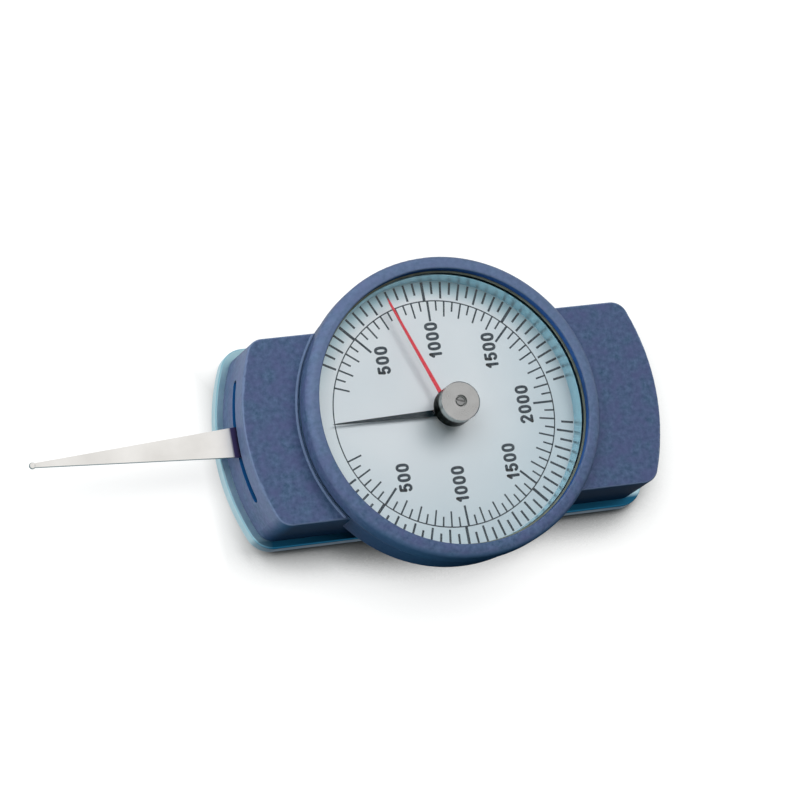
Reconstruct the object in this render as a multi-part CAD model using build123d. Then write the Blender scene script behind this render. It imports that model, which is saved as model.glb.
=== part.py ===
from build123d import *
import math
import os

# Dial tension gauge, millimetres. The origin is the centre of the dial projected onto the flat
# back face. +Z goes out through the dial, the feeler points along -X and the tail along +X.

# Outline of the body under the dial: straight sides, ends struck from the dial centre
HALF_WIDTH = 21.1
NECK_END_R = 46.5
TAIL_END_R = 50.8
CORNER_R = 4.0
DRAFT = 0.5
PAD_EDGE_R = 0.5

# Back cover, a shallow tray that stands out all round as a ledge
TRAY_FLOOR = 1.2
TRAY_RIM = 4.5
TRAY_PROUD = 1.7
TRAY_WALL = 2.1
TRAY_EDGE_R = 1.5
TRAY_LIP_R = 0.4

# Front housing
WALL = 2.2
SKIRT_INSET = 0.5
PAD_TOP = 20.0
NECK_CEILING = 18.0
DRUM_R = 34.0
DRUM_FOOT_R = 33.2
DRUM_BOTTOM = 11.8
DRUM_TAPER_LOW = 19.2
DRUM_TAPER_HIGH = 22.2
DRUM_TOP = 27.25
DRUM_BORE_R = 31.0
DRUM_TOP_R = 1.9
DRUM_WAIST_R = 0.6
DRUM_UNDER_R = 1.2
LIP_EDGE_R = 0.4
SEAT_UNDER = 16.5
DIAL_SEAT = 18.4
SEAT_OPENING_R = 26.0
SEAT_OPENING_HALF = 17.8
CHANNEL_WIDTH = 0.55
CHANNEL_DEPTH = 0.8
BEAD_RING_R = 34.05
BEAD_R = 0.38
BEAD_SINK = 0.05

# Dial, crystal and the rings that hold them
DIAL_R = 30.9
DIAL_TOP = 19.0
DIAL_HOLE_R = 1.3
SPACER_FOOT_R = 30.2
SPACER_HEAD_R = 30.5
CRYSTAL_BOTTOM = 23.2
CRYSTAL_TOP = 24.6
CRYSTAL_HOLE_R = 2.3
RING_TOP = 25.1
RING_INNER_R = 30.6
RING_FIT = 0.05
BUSH_LIP = 0.25
BUSH_LOW_LIP_R = 2.8
BUSH_HIGH_LIP_R = 3.1

# Feeler and the slot that it swings in
FEELER_Z = 13.3
BLADE_THICK = 1.0
BLADE_HALF = 3.5
BLADE_TIP_HALF = 0.45
BLADE_ROOT_X = -22.5
TAPER_X = -44.0
TIP_X = -92.4
TIP_BALL_R = 0.75
TIP_BALL_SEAT = 0.45
SLOT_LENGTH = 27.6
SLOT_HEIGHT = 2.2
SLOT_CUT_DEPTH = 7.2
CARRIER_HUB_R = 4.2
CARRIER_ARM_HALF = 3.3
CARRIER_ARM_PAST = 12.0
CLAMP_SETBACKS = (3.5, 8.5)
CLAMP_HEAD_R = 1.4
CLAMP_HEAD_HEIGHT = 0.6

# Gear train
GEAR_MODULE = 0.3
PINION_TEETH = 12
SECTOR_FULL_TEETH = 120
SECTOR_TEETH = 15
PRESSURE_ANGLE = math.radians(20)
PROFILE_SHIFT = 0.3
BACKLASH = 0.04
FLANK_STEPS = 4
TOOTH_ROOT_SINK = 0.97
SECTOR_RIM = 2.6
SECTOR_RIM_SPARE = 0.8
SECTOR_HUB_R = 3.0
SPOKE_WIDTH = 1.6
SPOKE_LEANS = (-17, 0, 17)
PINION_HUB_R = 1.2
PINION_HUB_DROP = 0.7
LEVER_X = -GEAR_MODULE * (PINION_TEETH + SECTOR_FULL_TEETH) / 2
FEELER_TRAVEL = 18.0
STOP_CLEARANCE = 0.3

# Movement plates and what stands between them
BASE_Z = 4.5
BRIDGE_Z = 15.0
PLATE_THICK = 1.5
PLATE_HALF = 18.4
PLATE_CORNER_R = 3.0
BASE_X = (-31.0, 19.5)
BRIDGE_X = (-29.5, 29.5)
PILLAR_R = 1.75
PILLAR_NECK_R = 1.0
PILLAR_PLACES = [(-16.0, -16.0), (-16.0, 16.0), (15.0, -14.5), (15.0, 14.5)]
BRIDGE_SCREW_PLACES = [(-24.5, -14.5), (-24.5, 14.5), (24.5, -14.5), (24.5, 14.5)]
BASE_WINDOW = (18.0, 6.0)
BASE_WINDOW_PLACE = (0.0, 11.5)
BRIDGE_WINDOW = (22.0, 7.0)
BRIDGE_WINDOW_PLACE = (3.0, 10.0)
STOP_R = 1.2
STOP_ARM = 9.4
STOP_PAST_BLADE = 0.2
STUD_FOOT_R = 0.8
SECTOR_Z = 10.0
SECTOR_THICK = 1.0
PINION_Z = 9.8
PINION_THICK = 1.4
CARRIER_Z = 11.2

# Arbors and their bushes
LEVER_R = 1.5
LEVER_PIVOT_R = 0.8
LEVER_BUSH_R = 1.8
POINTER_R = 0.7
POINTER_FOOT_R = 0.35
POINTER_NECK_R = 0.5
PINION_BUSH_R = 1.2
RUNNING_GAP = 0.03
SHOULDER_GAP = 0.2
PIVOT_SHORT = 0.1
ARBOR_PAST_HAND = 0.8

# Springs
MAIN_SPRING_Z = 6.6
MAIN_SPRING_HEIGHT = 2.6
MAIN_SPRING_THICK = 0.6
MAIN_SPRING_PITCH = 1.6
MAIN_SPRING_HALF_TURNS = 8
MAIN_COLLET_R = 3.0
MAIN_TURN = 90
MAIN_STUD_R = 1.2
HAIR_SPRING_Z = 7.3
HAIR_SPRING_HEIGHT = 0.6
HAIR_SPRING_THICK = 0.12
HAIR_SPRING_PITCH = 0.75
HAIR_SPRING_HALF_TURNS = 9
HAIR_COLLET_R = 1.4
HAIR_TURN = -90
HAIR_STUD_R = 0.8
COLLET_PAST_SPRING = 0.2

# Hands
POINTER_Z = 20.1
POINTER_LENGTH = 26.5
POINTER_THICK = 0.3
POINTER_ROOT_HALF = 0.8
POINTER_TIP_HALF = 0.16
POINTER_BOSS_R = 2.0
POINTER_HUB_LOW_R = 1.5
POINTER_HUB_HIGH_R = 1.3
POINTER_HUB_DROP = 0.7
POINTER_HUB_TOP = 21.0
HAND_POINT = 1.2
DRIVE_PIN_X = -3.2
DRIVE_PIN_R = 0.3
DRIVE_PIN_TOP = 22.3
MAX_HAND_Z = 22.5
MAX_HAND_LENGTH = 28.0
MAX_HAND_THICK = 0.25
MAX_HAND_ANGLE = 110.2
MAX_HAND_ROOT_HALF = 0.46
MAX_HAND_TIP_HALF = 0.24
MAX_HAND_BOSS_R = 1.55
MAX_HUB_DROP = 0.45

# Reset knob
KNOB_R = 4.4
KNOB_BOTTOM = 24.9
KNOB_TOP = 30.8
KNOB_CHAMFER = 0.25
KNOB_RECESS_R = 3.45
KNOB_RECESS_TOP = 25.25
SPINDLE_R = 1.0
SPINDLE_BOTTOM = 21.9
SPINDLE_TOP = 29.2
SPINDLE_TAP = 2.4
KNOB_SCREW_R = 0.5
KNOB_SCREW_REACH = 2.2
KNOB_SCREW_HEAD_R = 1.1
KNOB_SCREW_BORE_R = 1.35
KNOB_SCREW_SEAT = 29.9
KNOB_SCREW_TOP = 30.6
KNOB_SCREW_CROWN_R = 0.5
KNOB_SCREW_TURN = -20
WASHER_THICK = 0.15
WASHER_INNER_R = 1.15
WASHER_OUTER_R = 2.9
WASHER_CLEARANCE = 0.02

# Case screws
CASE_SCREW_PLACES = [(-39.2, -15.6), (-39.2, 15.6), (43.4, -15.6), (43.4, 15.6)]
BOSS_R = 3.0
CASE_SCREW_R = 1.05
CASE_SCREW_HEAD_R = 2.1
CASE_SCREW_SINK = 0.1
CASE_SCREW_TOP = 9.0
THREAD_GAP = 0.05
SCREW_R = 0.8
SCREW_HEAD_R = 1.5
SCREW_HEAD_HEIGHT = 0.8
PILLAR_SCREW_LENGTH = 5.5
PILLAR_TAP = 5.0
BRIDGE_SCREW_BITE = 1.6
SLOT_CUT = 0.4


def cylinder(radius, low, high, place=(0, 0)):
    """Upright cylinder between two heights."""
    disc = Cylinder(radius, high - low, align=(Align.CENTER, Align.CENTER, Align.MIN))
    return Pos(place[0], place[1], low) * disc


def tube(outer, inner, low, high, place=(0, 0)):
    """Upright cylinder with a through hole."""
    return cylinder(outer, low, high, place) - cylinder(inner, low, high, place)


def slab(face, low, high):
    """A plan face raised between two heights."""
    return Pos(0, 0, low) * extrude(face, amount=high - low)


def turned(points):
    """Solid of revolution about the dial axis from a half section of (radius, height) points."""
    section = Plane.XZ * make_face(Polyline(*points, close=True))
    return revolve(section, axis=Axis.Z)


def circles_at(solid, radius, height):
    """Circular edges of a solid with one radius at one height."""
    return [edge for edge in solid.edges().filter_by(GeomType.CIRCLE)
            if abs(edge.radius - radius) < 0.01 and abs(edge.center().Z - height) < 0.01]


def body_outline(grow):
    """Plan outline of neck and tail, moved outward by a distance (inward if negative)."""
    half = HALF_WIDTH + grow
    neck = NECK_END_R + grow
    tail = TAIL_END_R + grow
    neck_x = -math.sqrt(neck * neck - half * half)
    tail_x = math.sqrt(tail * tail - half * half)
    edges = [
        Line((neck_x, -half), (tail_x, -half)),
        ThreePointArc((tail_x, -half), (tail, 0), (tail_x, half)),
        Line((tail_x, half), (neck_x, half)),
        ThreePointArc((neck_x, half), (-neck, 0), (neck_x, -half)),
    ]
    outline = make_face(edges)
    return fillet(outline.vertices(), CORNER_R + grow)


def drum():
    """The round dial case: a wide band with an eased rim, drawn in to a narrower foot."""
    blank = turned([(0, DRUM_BOTTOM), (DRUM_FOOT_R, DRUM_BOTTOM), (DRUM_FOOT_R, DRUM_TAPER_LOW),
                    (DRUM_R, DRUM_TAPER_HIGH), (DRUM_R, DRUM_TOP), (0, DRUM_TOP)])
    blank = fillet(circles_at(blank, DRUM_R, DRUM_TOP), DRUM_TOP_R)
    blank = fillet(circles_at(blank, DRUM_R, DRUM_TAPER_HIGH), DRUM_WAIST_R)
    return fillet(circles_at(blank, DRUM_FOOT_R, DRUM_BOTTOM), DRUM_UNDER_R)


def pad_bead():
    """Low bead cast on the pads round the drum's foot."""
    ring = Pos(0, 0, PAD_TOP - BEAD_SINK) * Torus(BEAD_RING_R, BEAD_R)
    return ring & slab(body_outline(-PAD_EDGE_R), PAD_TOP - 1, PAD_TOP + 1)


def front_housing():
    """Cast case: drafted body, bead and channel, overhanging hollow drum, bosses, skirt, slot."""
    body = Pos(0, 0, TRAY_RIM) * extrude(body_outline(0), amount=PAD_TOP - TRAY_RIM, taper=DRAFT)
    pad_edges = body.faces().sort_by(Axis.Z)[-1].edges()
    body = fillet(pad_edges, PAD_EDGE_R)
    body += slab(body_outline(-SKIRT_INSET), TRAY_FLOOR, TRAY_RIM)
    body += pad_bead()
    body -= tube(DRUM_FOOT_R + CHANNEL_WIDTH, DRUM_FOOT_R - WALL, PAD_TOP - CHANNEL_DEPTH, PAD_TOP + 1)
    body += drum()

    hollow = slab(body_outline(-WALL), TRAY_FLOOR, SEAT_UNDER)
    end_pockets = slab(body_outline(-WALL), SEAT_UNDER, NECK_CEILING)
    end_pockets -= cylinder(DRUM_R, SEAT_UNDER, NECK_CEILING)
    hollow += end_pockets
    for place in CASE_SCREW_PLACES:
        hollow -= cylinder(BOSS_R, TRAY_FLOOR, NECK_CEILING, place)
    hollow += cylinder(DRUM_FOOT_R - WALL, DRUM_BOTTOM + WALL, SEAT_UNDER)
    body -= hollow
    opening = Circle(SEAT_OPENING_R) & Rectangle(2 * SEAT_OPENING_R, 2 * SEAT_OPENING_HALF)
    body -= slab(opening, SEAT_UNDER, DIAL_SEAT)
    body -= cylinder(DRUM_BORE_R, DIAL_SEAT, DRUM_TOP)
    body = fillet(circles_at(body, DRUM_BORE_R, DRUM_TOP), LIP_EDGE_R)

    for place in CASE_SCREW_PLACES:
        body -= cylinder(CASE_SCREW_R + THREAD_GAP, TRAY_FLOOR, CASE_SCREW_TOP + 1, place)
    for place in BRIDGE_SCREW_PLACES:
        body -= cylinder(SCREW_R + THREAD_GAP, SEAT_UNDER, DIAL_SEAT, place)
    slot_face = Plane.YZ * SlotOverall(SLOT_LENGTH, SLOT_HEIGHT)
    slot = Pos(-NECK_END_R - 1, 0, FEELER_Z) * extrude(slot_face, amount=SLOT_CUT_DEPTH)
    return body - slot


def back_cover():
    """Tray with a rounded lower edge, an eased ledge, a flat floor and four countersunk holes."""
    tray = slab(body_outline(TRAY_PROUD), 0, TRAY_RIM)
    tray = fillet(tray.faces().sort_by(Axis.Z)[0].edges(), TRAY_EDGE_R)
    tray = fillet(tray.faces().sort_by(Axis.Z)[-1].edges(), TRAY_LIP_R)
    tray -= slab(body_outline(TRAY_PROUD - TRAY_WALL), TRAY_FLOOR, TRAY_RIM)
    for place in CASE_SCREW_PLACES:
        tray -= cylinder(CASE_SCREW_R + THREAD_GAP, 0, TRAY_FLOOR, place)
        tray -= cylinder(CASE_SCREW_HEAD_R + THREAD_GAP, 0, CASE_SCREW_SINK, place)
        tray -= countersink(THREAD_GAP, place)
    return tray


def countersink(gap, place):
    """Cone of a countersunk head, from its wide end up to the shank, with a gap all round."""
    wide = CASE_SCREW_HEAD_R + gap
    narrow = CASE_SCREW_R + gap
    cone = Cone(wide, narrow, wide - narrow, align=(Align.CENTER, Align.CENTER, Align.MIN))
    return Pos(place[0], place[1], CASE_SCREW_SINK) * cone


def back_cover_screws():
    """Four slotted countersunk screws that hold the cover to the housing bosses."""
    screws = []
    for place in CASE_SCREW_PLACES:
        screw = countersink(0, place)
        screw += cylinder(CASE_SCREW_R, CASE_SCREW_SINK, CASE_SCREW_TOP, place)
        slot = Box(2 * CASE_SCREW_HEAD_R + 1, SLOT_CUT, 2 * SLOT_CUT)
        screw -= Pos(place[0], place[1], CASE_SCREW_SINK) * slot
        screws.append(screw)
    return Compound(children=screws)


def cheese_screws(places, seat, tip, head_radius, shank_radius, head_height, head_up):
    """Slotted cheese-head screws; the head stands above or below its seat."""
    screws = []
    for place in places:
        turn = 1 if head_up else -1
        head_end = seat + turn * head_height
        screw = cylinder(head_radius, min(seat, head_end), max(seat, head_end), place)
        screw += cylinder(shank_radius, min(seat, tip), max(seat, tip), place)
        screw -= Pos(place[0], place[1], head_end) * Box(2 * head_radius + 1, SLOT_CUT, head_height)
        screws.append(screw)
    return Compound(children=screws)


def rounded_plate(span_x, half_y, low):
    """Movement plate with rounded corners."""
    width = span_x[1] - span_x[0]
    plan = RectangleRounded(width, 2 * half_y, PLATE_CORNER_R)
    return slab(Pos((span_x[0] + span_x[1]) / 2, 0) * plan, low, low + PLATE_THICK)


def base_plate():
    """Rear movement plate: bush holes, pillar screw holes, stud holes and a lightening window."""
    plate = rounded_plate(BASE_X, PLATE_HALF, BASE_Z)
    top = BASE_Z + PLATE_THICK
    plate -= cylinder(LEVER_BUSH_R, BASE_Z, top, (LEVER_X, 0))
    plate -= cylinder(PINION_BUSH_R, BASE_Z, top)
    for place in PILLAR_PLACES:
        plate -= cylinder(SCREW_R + THREAD_GAP, BASE_Z, top, place)
    plate -= cylinder(STUD_FOOT_R, BASE_Z, top, MAIN_STUD_PLACE)
    plate -= cylinder(STUD_FOOT_R, BASE_Z, top, HAIR_STUD_PLACE)
    for side in (-1, 1):
        window = Pos(BASE_WINDOW_PLACE[0], side * BASE_WINDOW_PLACE[1]) * SlotOverall(*BASE_WINDOW)
        plate -= slab(window, BASE_Z, top)
    return plate


def bridge_plate():
    """Front movement plate, screwed up against the dial seat of the housing."""
    plate = rounded_plate(BRIDGE_X, PLATE_HALF, BRIDGE_Z)
    top = BRIDGE_Z + PLATE_THICK
    plate -= cylinder(LEVER_BUSH_R, BRIDGE_Z, top, (LEVER_X, 0))
    plate -= cylinder(PINION_BUSH_R, BRIDGE_Z, top)
    for place in PILLAR_PLACES:
        plate -= cylinder(PILLAR_NECK_R, BRIDGE_Z, top, place)
    for place in BRIDGE_SCREW_PLACES:
        plate -= cylinder(SCREW_R + THREAD_GAP, BRIDGE_Z, top, place)
    for place in stop_places():
        plate -= cylinder(STUD_FOOT_R, BRIDGE_Z, top, place)
    for side in (-1, 1):
        middle = Pos(BRIDGE_WINDOW_PLACE[0], side * BRIDGE_WINDOW_PLACE[1])
        plate -= slab(middle * SlotOverall(*BRIDGE_WINDOW), BRIDGE_Z, top)
    return plate


def plate_pillars():
    """Four pillars, riveted into the bridge and drilled for the screws of the base plate."""
    low = BASE_Z + PLATE_THICK
    pillars = []
    for place in PILLAR_PLACES:
        pillar = cylinder(PILLAR_R, low, BRIDGE_Z, place)
        pillar += cylinder(PILLAR_NECK_R, BRIDGE_Z, BRIDGE_Z + PLATE_THICK, place)
        pillar -= cylinder(SCREW_R + THREAD_GAP, low, low + PILLAR_TAP, place)
        pillars.append(pillar)
    return Compound(children=pillars)


def bushes(outer, place, base_bore, bridge_bore):
    """The pair of bearing bushes of one arbor, one in each plate."""
    low = tube(outer, base_bore, BASE_Z, BASE_Z + PLATE_THICK, place)
    high = tube(outer, bridge_bore, BRIDGE_Z, BRIDGE_Z + PLATE_THICK, place)
    return Compound(children=[low, high])


def stop_places():
    """Centres of the two stops, where the blade's edge meets them just past full travel."""
    lean = math.asin((BLADE_HALF + STOP_R) / STOP_ARM)
    angle = math.radians(FEELER_TRAVEL + STOP_CLEARANCE) + lean
    x = LEVER_X - STOP_ARM * math.cos(angle)
    y = STOP_ARM * math.sin(angle)
    return [(x, -y), (x, y)]


def travel_stops():
    """Two studs that hang from the bridge plate beside the blade."""
    stops = []
    for place in stop_places():
        stop = cylinder(STOP_R, FEELER_Z - STOP_PAST_BLADE, BRIDGE_Z, place)
        stop += cylinder(STUD_FOOT_R, BRIDGE_Z, BRIDGE_Z + PLATE_THICK, place)
        stops.append(stop)
    return Compound(children=stops)


def involute_point(base_radius, radius):
    """Angle that the involute has unwound through where it reaches a radius."""
    if radius <= base_radius:
        return 0.0
    slope = math.acos(base_radius / radius)
    return math.tan(slope) - slope


def gear_face(teeth, first, count, shift):
    """Root disc with involute teeth: count teeth, the first centred at the angle given."""
    pitch_r = GEAR_MODULE * teeth / 2
    base_r = pitch_r * math.cos(PRESSURE_ANGLE)
    tip_r = pitch_r + GEAR_MODULE * (1 + shift)
    root_r = pitch_r - GEAR_MODULE * (1.25 - shift)
    tooth_width = GEAR_MODULE * (math.pi / 2 + 2 * shift * math.tan(PRESSURE_ANGLE)) - BACKLASH
    half_at_pitch = tooth_width / (2 * pitch_r)
    half_at_base = half_at_pitch + involute_point(base_r, pitch_r)
    start_r = max(base_r, root_r)
    flank = [(root_r * TOOTH_ROOT_SINK, half_at_base)]
    if start_r > root_r:
        flank.append((root_r, half_at_base))
    for step in range(FLANK_STEPS + 1):
        radius = start_r + (tip_r - start_r) * step / FLANK_STEPS
        flank.append((radius, half_at_base - involute_point(base_r, radius)))
    low_side = [(r * math.cos(-a), r * math.sin(-a)) for r, a in flank]
    high_side = [(r * math.cos(a), r * math.sin(a)) for r, a in reversed(flank)]
    tooth = make_face(Polyline(*low_side, *high_side, close=True))
    face = Circle(root_r)
    for number in range(count):
        face += Rot(0, 0, first + number * 360 / teeth) * tooth
    return face


def sector_gear():
    """Toothed sector on three spokes with its hub, cut from a full wheel blank."""
    tooth_angle = 360 / SECTOR_FULL_TEETH
    first = -(SECTOR_TEETH - 1) / 2 * tooth_angle
    wheel = gear_face(SECTOR_FULL_TEETH, first, SECTOR_TEETH, -PROFILE_SHIFT)
    pitch_r = GEAR_MODULE * SECTOR_FULL_TEETH / 2
    rim_inner = pitch_r - SECTOR_RIM
    half_angle = math.radians(SECTOR_TEETH * tooth_angle / 2 + SECTOR_RIM_SPARE)
    far = 2 * pitch_r
    wedge = make_face(Polyline((0, 0), (far, -far * math.tan(half_angle)),
                               (far, far * math.tan(half_angle)), close=True))
    rim = (wheel - Circle(rim_inner)) & wedge
    web = Circle(SECTOR_HUB_R) + rim
    for lean in SPOKE_LEANS:
        spoke = Pos(rim_inner / 2, 0) * Rectangle(rim_inner + 1, SPOKE_WIDTH)
        web += Rot(0, 0, lean) * spoke
    web -= Circle(LEVER_R)
    return slab(Pos(LEVER_X, 0) * web, SECTOR_Z, SECTOR_Z + SECTOR_THICK)


def centre_pinion():
    """Pinion of the pointer arbor with a plain hub under its teeth."""
    face = gear_face(PINION_TEETH, 180 / PINION_TEETH, PINION_TEETH, PROFILE_SHIFT)
    pinion = slab(face, PINION_Z, PINION_Z + PINION_THICK)
    pinion += cylinder(PINION_HUB_R, PINION_Z - PINION_HUB_DROP, PINION_Z)
    return pinion - cylinder(POINTER_R, PINION_Z - PINION_HUB_DROP, PINION_Z + PINION_THICK)


def spiral(start_r, pitch, half_turns, thick, low, height, place, turn):
    """Flat coiled strip made of half circles whose radius grows by half a pitch each time."""
    inner = spiral_edges(start_r, pitch, half_turns)
    outer = spiral_edges(start_r + thick, pitch, half_turns)
    caps = [Line(inner[0] @ 0, outer[0] @ 0), Line(inner[-1] @ 1, outer[-1] @ 1)]
    strip = make_face(inner + outer + caps)
    return slab(Pos(place[0], place[1]) * Rot(0, 0, turn) * strip, low, low + height)


def spiral_edges(start_r, pitch, half_turns):
    """Chain of half circles, alternately above and below the X axis."""
    edges = []
    radius = start_r
    x = start_r
    for number in range(half_turns):
        side = 1 if number % 2 == 0 else -1
        centre = x - side * radius
        edges.append(ThreePointArc((x, 0), (centre, side * radius), (centre - side * radius, 0)))
        x = centre - side * radius
        radius += pitch / 2
    return edges


def spiral_end(start_r, pitch, half_turns, thick, place, turn):
    """Middle of the free outer end of a spiral."""
    end = spiral_edges(start_r, pitch, half_turns)[-1] @ 1
    side = 1 if end.X > 0 else -1
    x = end.X + side * thick / 2
    angle = math.radians(turn)
    return (place[0] + x * math.cos(angle), place[1] + x * math.sin(angle))


# Where the springs' outer ends come to rest, which places their studs
MAIN_STUD_PLACE = spiral_end(MAIN_COLLET_R, MAIN_SPRING_PITCH, MAIN_SPRING_HALF_TURNS,
                             MAIN_SPRING_THICK, (LEVER_X, 0), MAIN_TURN)
HAIR_STUD_PLACE = spiral_end(HAIR_COLLET_R, HAIR_SPRING_PITCH, HAIR_SPRING_HALF_TURNS,
                             HAIR_SPRING_THICK, (0, 0), HAIR_TURN)


def measuring_spring():
    """Strong spiral that returns the feeler to the middle."""
    return spiral(MAIN_COLLET_R, MAIN_SPRING_PITCH, MAIN_SPRING_HALF_TURNS, MAIN_SPRING_THICK,
                  MAIN_SPRING_Z, MAIN_SPRING_HEIGHT, (LEVER_X, 0), MAIN_TURN)


def hairspring():
    """Fine spiral on the pointer arbor that keeps the teeth in contact."""
    return spiral(HAIR_COLLET_R, HAIR_SPRING_PITCH, HAIR_SPRING_HALF_TURNS, HAIR_SPRING_THICK,
                  HAIR_SPRING_Z, HAIR_SPRING_HEIGHT, (0, 0), HAIR_TURN)


def spring_stud(place, radius, top, spring):
    """Post on the base plate whose side is notched for the spring's outer end."""
    stud = cylinder(radius, BASE_Z + PLATE_THICK, top, place)
    stud += cylinder(STUD_FOOT_R, BASE_Z, BASE_Z + PLATE_THICK, place)
    return stud - spring


def lever_arbor():
    """Stepped arbor of the feeler."""
    low = BASE_Z + PLATE_THICK + SHOULDER_GAP
    arbor = cylinder(LEVER_R, low, BRIDGE_Z - SHOULDER_GAP, (LEVER_X, 0))
    return arbor + cylinder(LEVER_PIVOT_R, BASE_Z + PIVOT_SHORT, BRIDGE_Z + PLATE_THICK - PIVOT_SHORT,
                            (LEVER_X, 0))


def pointer_arbor():
    """Stepped arbor that carries the pinion below and the black hand above the dial."""
    low = BASE_Z + PLATE_THICK + SHOULDER_GAP
    high = BRIDGE_Z - SHOULDER_GAP
    arbor = cylinder(POINTER_FOOT_R, BASE_Z + PIVOT_SHORT, low)
    arbor += cylinder(POINTER_R, low, high)
    return arbor + cylinder(POINTER_NECK_R, high, POINTER_Z + ARBOR_PAST_HAND)


def clamp_places():
    """Centres of the two screws that hold the blade on its carrier."""
    return [(BLADE_ROOT_X - setback, 0) for setback in CLAMP_SETBACKS]


def feeler_carrier():
    """Hub and arm on the lever arbor; the blade is screwed down on the arm."""
    reach = LEVER_X - BLADE_ROOT_X + CARRIER_ARM_PAST
    plan = Circle(CARRIER_HUB_R) + Pos(-reach / 2, 0) * Rectangle(reach, 2 * CARRIER_ARM_HALF)
    top = FEELER_Z - BLADE_THICK / 2
    carrier = slab(Pos(LEVER_X, 0) * plan, CARRIER_Z, top)
    carrier -= cylinder(LEVER_R, CARRIER_Z, top, (LEVER_X, 0))
    for place in clamp_places():
        carrier -= cylinder(SCREW_R + THREAD_GAP, CARRIER_Z, top, place)
    return carrier


def feeler_blade():
    """Flat steel blade, parallel inside the case and tapered to a point outside it."""
    end_x = TIP_X + TIP_BALL_R - TIP_BALL_SEAT
    plan = make_face(Polyline((BLADE_ROOT_X, -BLADE_HALF), (BLADE_ROOT_X, BLADE_HALF),
                              (TAPER_X, BLADE_HALF), (end_x, BLADE_TIP_HALF),
                              (end_x, -BLADE_TIP_HALF), (TAPER_X, -BLADE_HALF), close=True))
    low = FEELER_Z - BLADE_THICK / 2
    blade = slab(plan, low, low + BLADE_THICK)
    for place in clamp_places():
        blade -= cylinder(SCREW_R + THREAD_GAP, low, low + BLADE_THICK, place)
    return blade


def feeler_tip(blade):
    """Contact ball seated on the end of the blade."""
    return Pos(TIP_X, 0, FEELER_Z) * Sphere(TIP_BALL_R) - blade


def dial_plate():
    """Flat dial with a hole for the pointer arbor."""
    return tube(DIAL_R, DIAL_HOLE_R, DIAL_SEAT, DIAL_TOP)


def spacer_ring():
    """Ring between dial and crystal, its inner wall opening slightly towards the front."""
    return turned([(SPACER_FOOT_R, DIAL_TOP), (DIAL_R, DIAL_TOP), (DIAL_R, CRYSTAL_BOTTOM),
                   (SPACER_HEAD_R, CRYSTAL_BOTTOM)])


def crystal():
    """Flat crystal with a hole for the knob's bush."""
    return tube(DIAL_R, CRYSTAL_HOLE_R, CRYSTAL_BOTTOM, CRYSTAL_TOP)


def crystal_ring():
    """Thin split ring that holds the crystal down."""
    return tube(DIAL_R + RING_FIT, RING_INNER_R, CRYSTAL_TOP, RING_TOP)


def crystal_bush():
    """Flanged bush in the middle of the crystal; the knob's spindle turns in it."""
    bore = SPINDLE_R + THREAD_GAP
    low = CRYSTAL_BOTTOM - BUSH_LIP
    high = CRYSTAL_TOP + BUSH_LIP
    return turned([(bore, low), (BUSH_LOW_LIP_R, low), (BUSH_LOW_LIP_R, CRYSTAL_BOTTOM),
                   (CRYSTAL_HOLE_R, CRYSTAL_BOTTOM), (CRYSTAL_HOLE_R, CRYSTAL_TOP),
                   (BUSH_HIGH_LIP_R, CRYSTAL_TOP), (BUSH_HIGH_LIP_R, high), (bore, high)])


def hand(length, root_half, tip_half, boss_r, bore_r, low, thick):
    """Thin tapered hand with a round boss, pointing along +X."""
    shoulder = length - HAND_POINT
    taper = make_face(Polyline((0, -root_half), (shoulder, -tip_half), (length, 0),
                               (shoulder, tip_half), (0, root_half), close=True))
    return slab(taper + Circle(boss_r) - Circle(bore_r), low, low + thick)


def pointer_hand():
    """Black hand at zero, drilled for its drive pin."""
    blade = hand(POINTER_LENGTH, POINTER_ROOT_HALF, POINTER_TIP_HALF, POINTER_BOSS_R,
                 POINTER_NECK_R, POINTER_Z, POINTER_THICK)
    blade = Rot(0, 0, 180) * blade
    return blade - cylinder(DRIVE_PIN_R, POINTER_Z, POINTER_Z + POINTER_THICK, (DRIVE_PIN_X, 0))


def pointer_hub():
    """Collet under and over the hand's boss."""
    below = tube(POINTER_HUB_LOW_R, POINTER_NECK_R, POINTER_Z - POINTER_HUB_DROP, POINTER_Z)
    above = tube(POINTER_HUB_HIGH_R, POINTER_NECK_R, POINTER_Z + POINTER_THICK, POINTER_HUB_TOP)
    return Compound(children=[below, above])


def drive_pin():
    """Pin on the black hand that pushes the red one."""
    return cylinder(DRIVE_PIN_R, POINTER_Z, DRIVE_PIN_TOP, (DRIVE_PIN_X, 0))


def max_pointer_hand():
    """Red hand, left at the highest reading."""
    blade = hand(MAX_HAND_LENGTH, MAX_HAND_ROOT_HALF, MAX_HAND_TIP_HALF, MAX_HAND_BOSS_R,
                 SPINDLE_R, MAX_HAND_Z, MAX_HAND_THICK)
    return Rot(0, 0, MAX_HAND_ANGLE) * blade


def max_pointer_hub():
    """Collar under the red hand."""
    return tube(MAX_HAND_BOSS_R, SPINDLE_R, MAX_HAND_Z - MAX_HUB_DROP, MAX_HAND_Z)


def knob_spindle():
    """Spindle between knob and red hand, tapped for the knob's screw."""
    spindle = cylinder(SPINDLE_R, SPINDLE_BOTTOM, SPINDLE_TOP)
    return spindle - cylinder(KNOB_SCREW_R + THREAD_GAP, SPINDLE_TOP - SPINDLE_TAP, SPINDLE_TOP)


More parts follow.
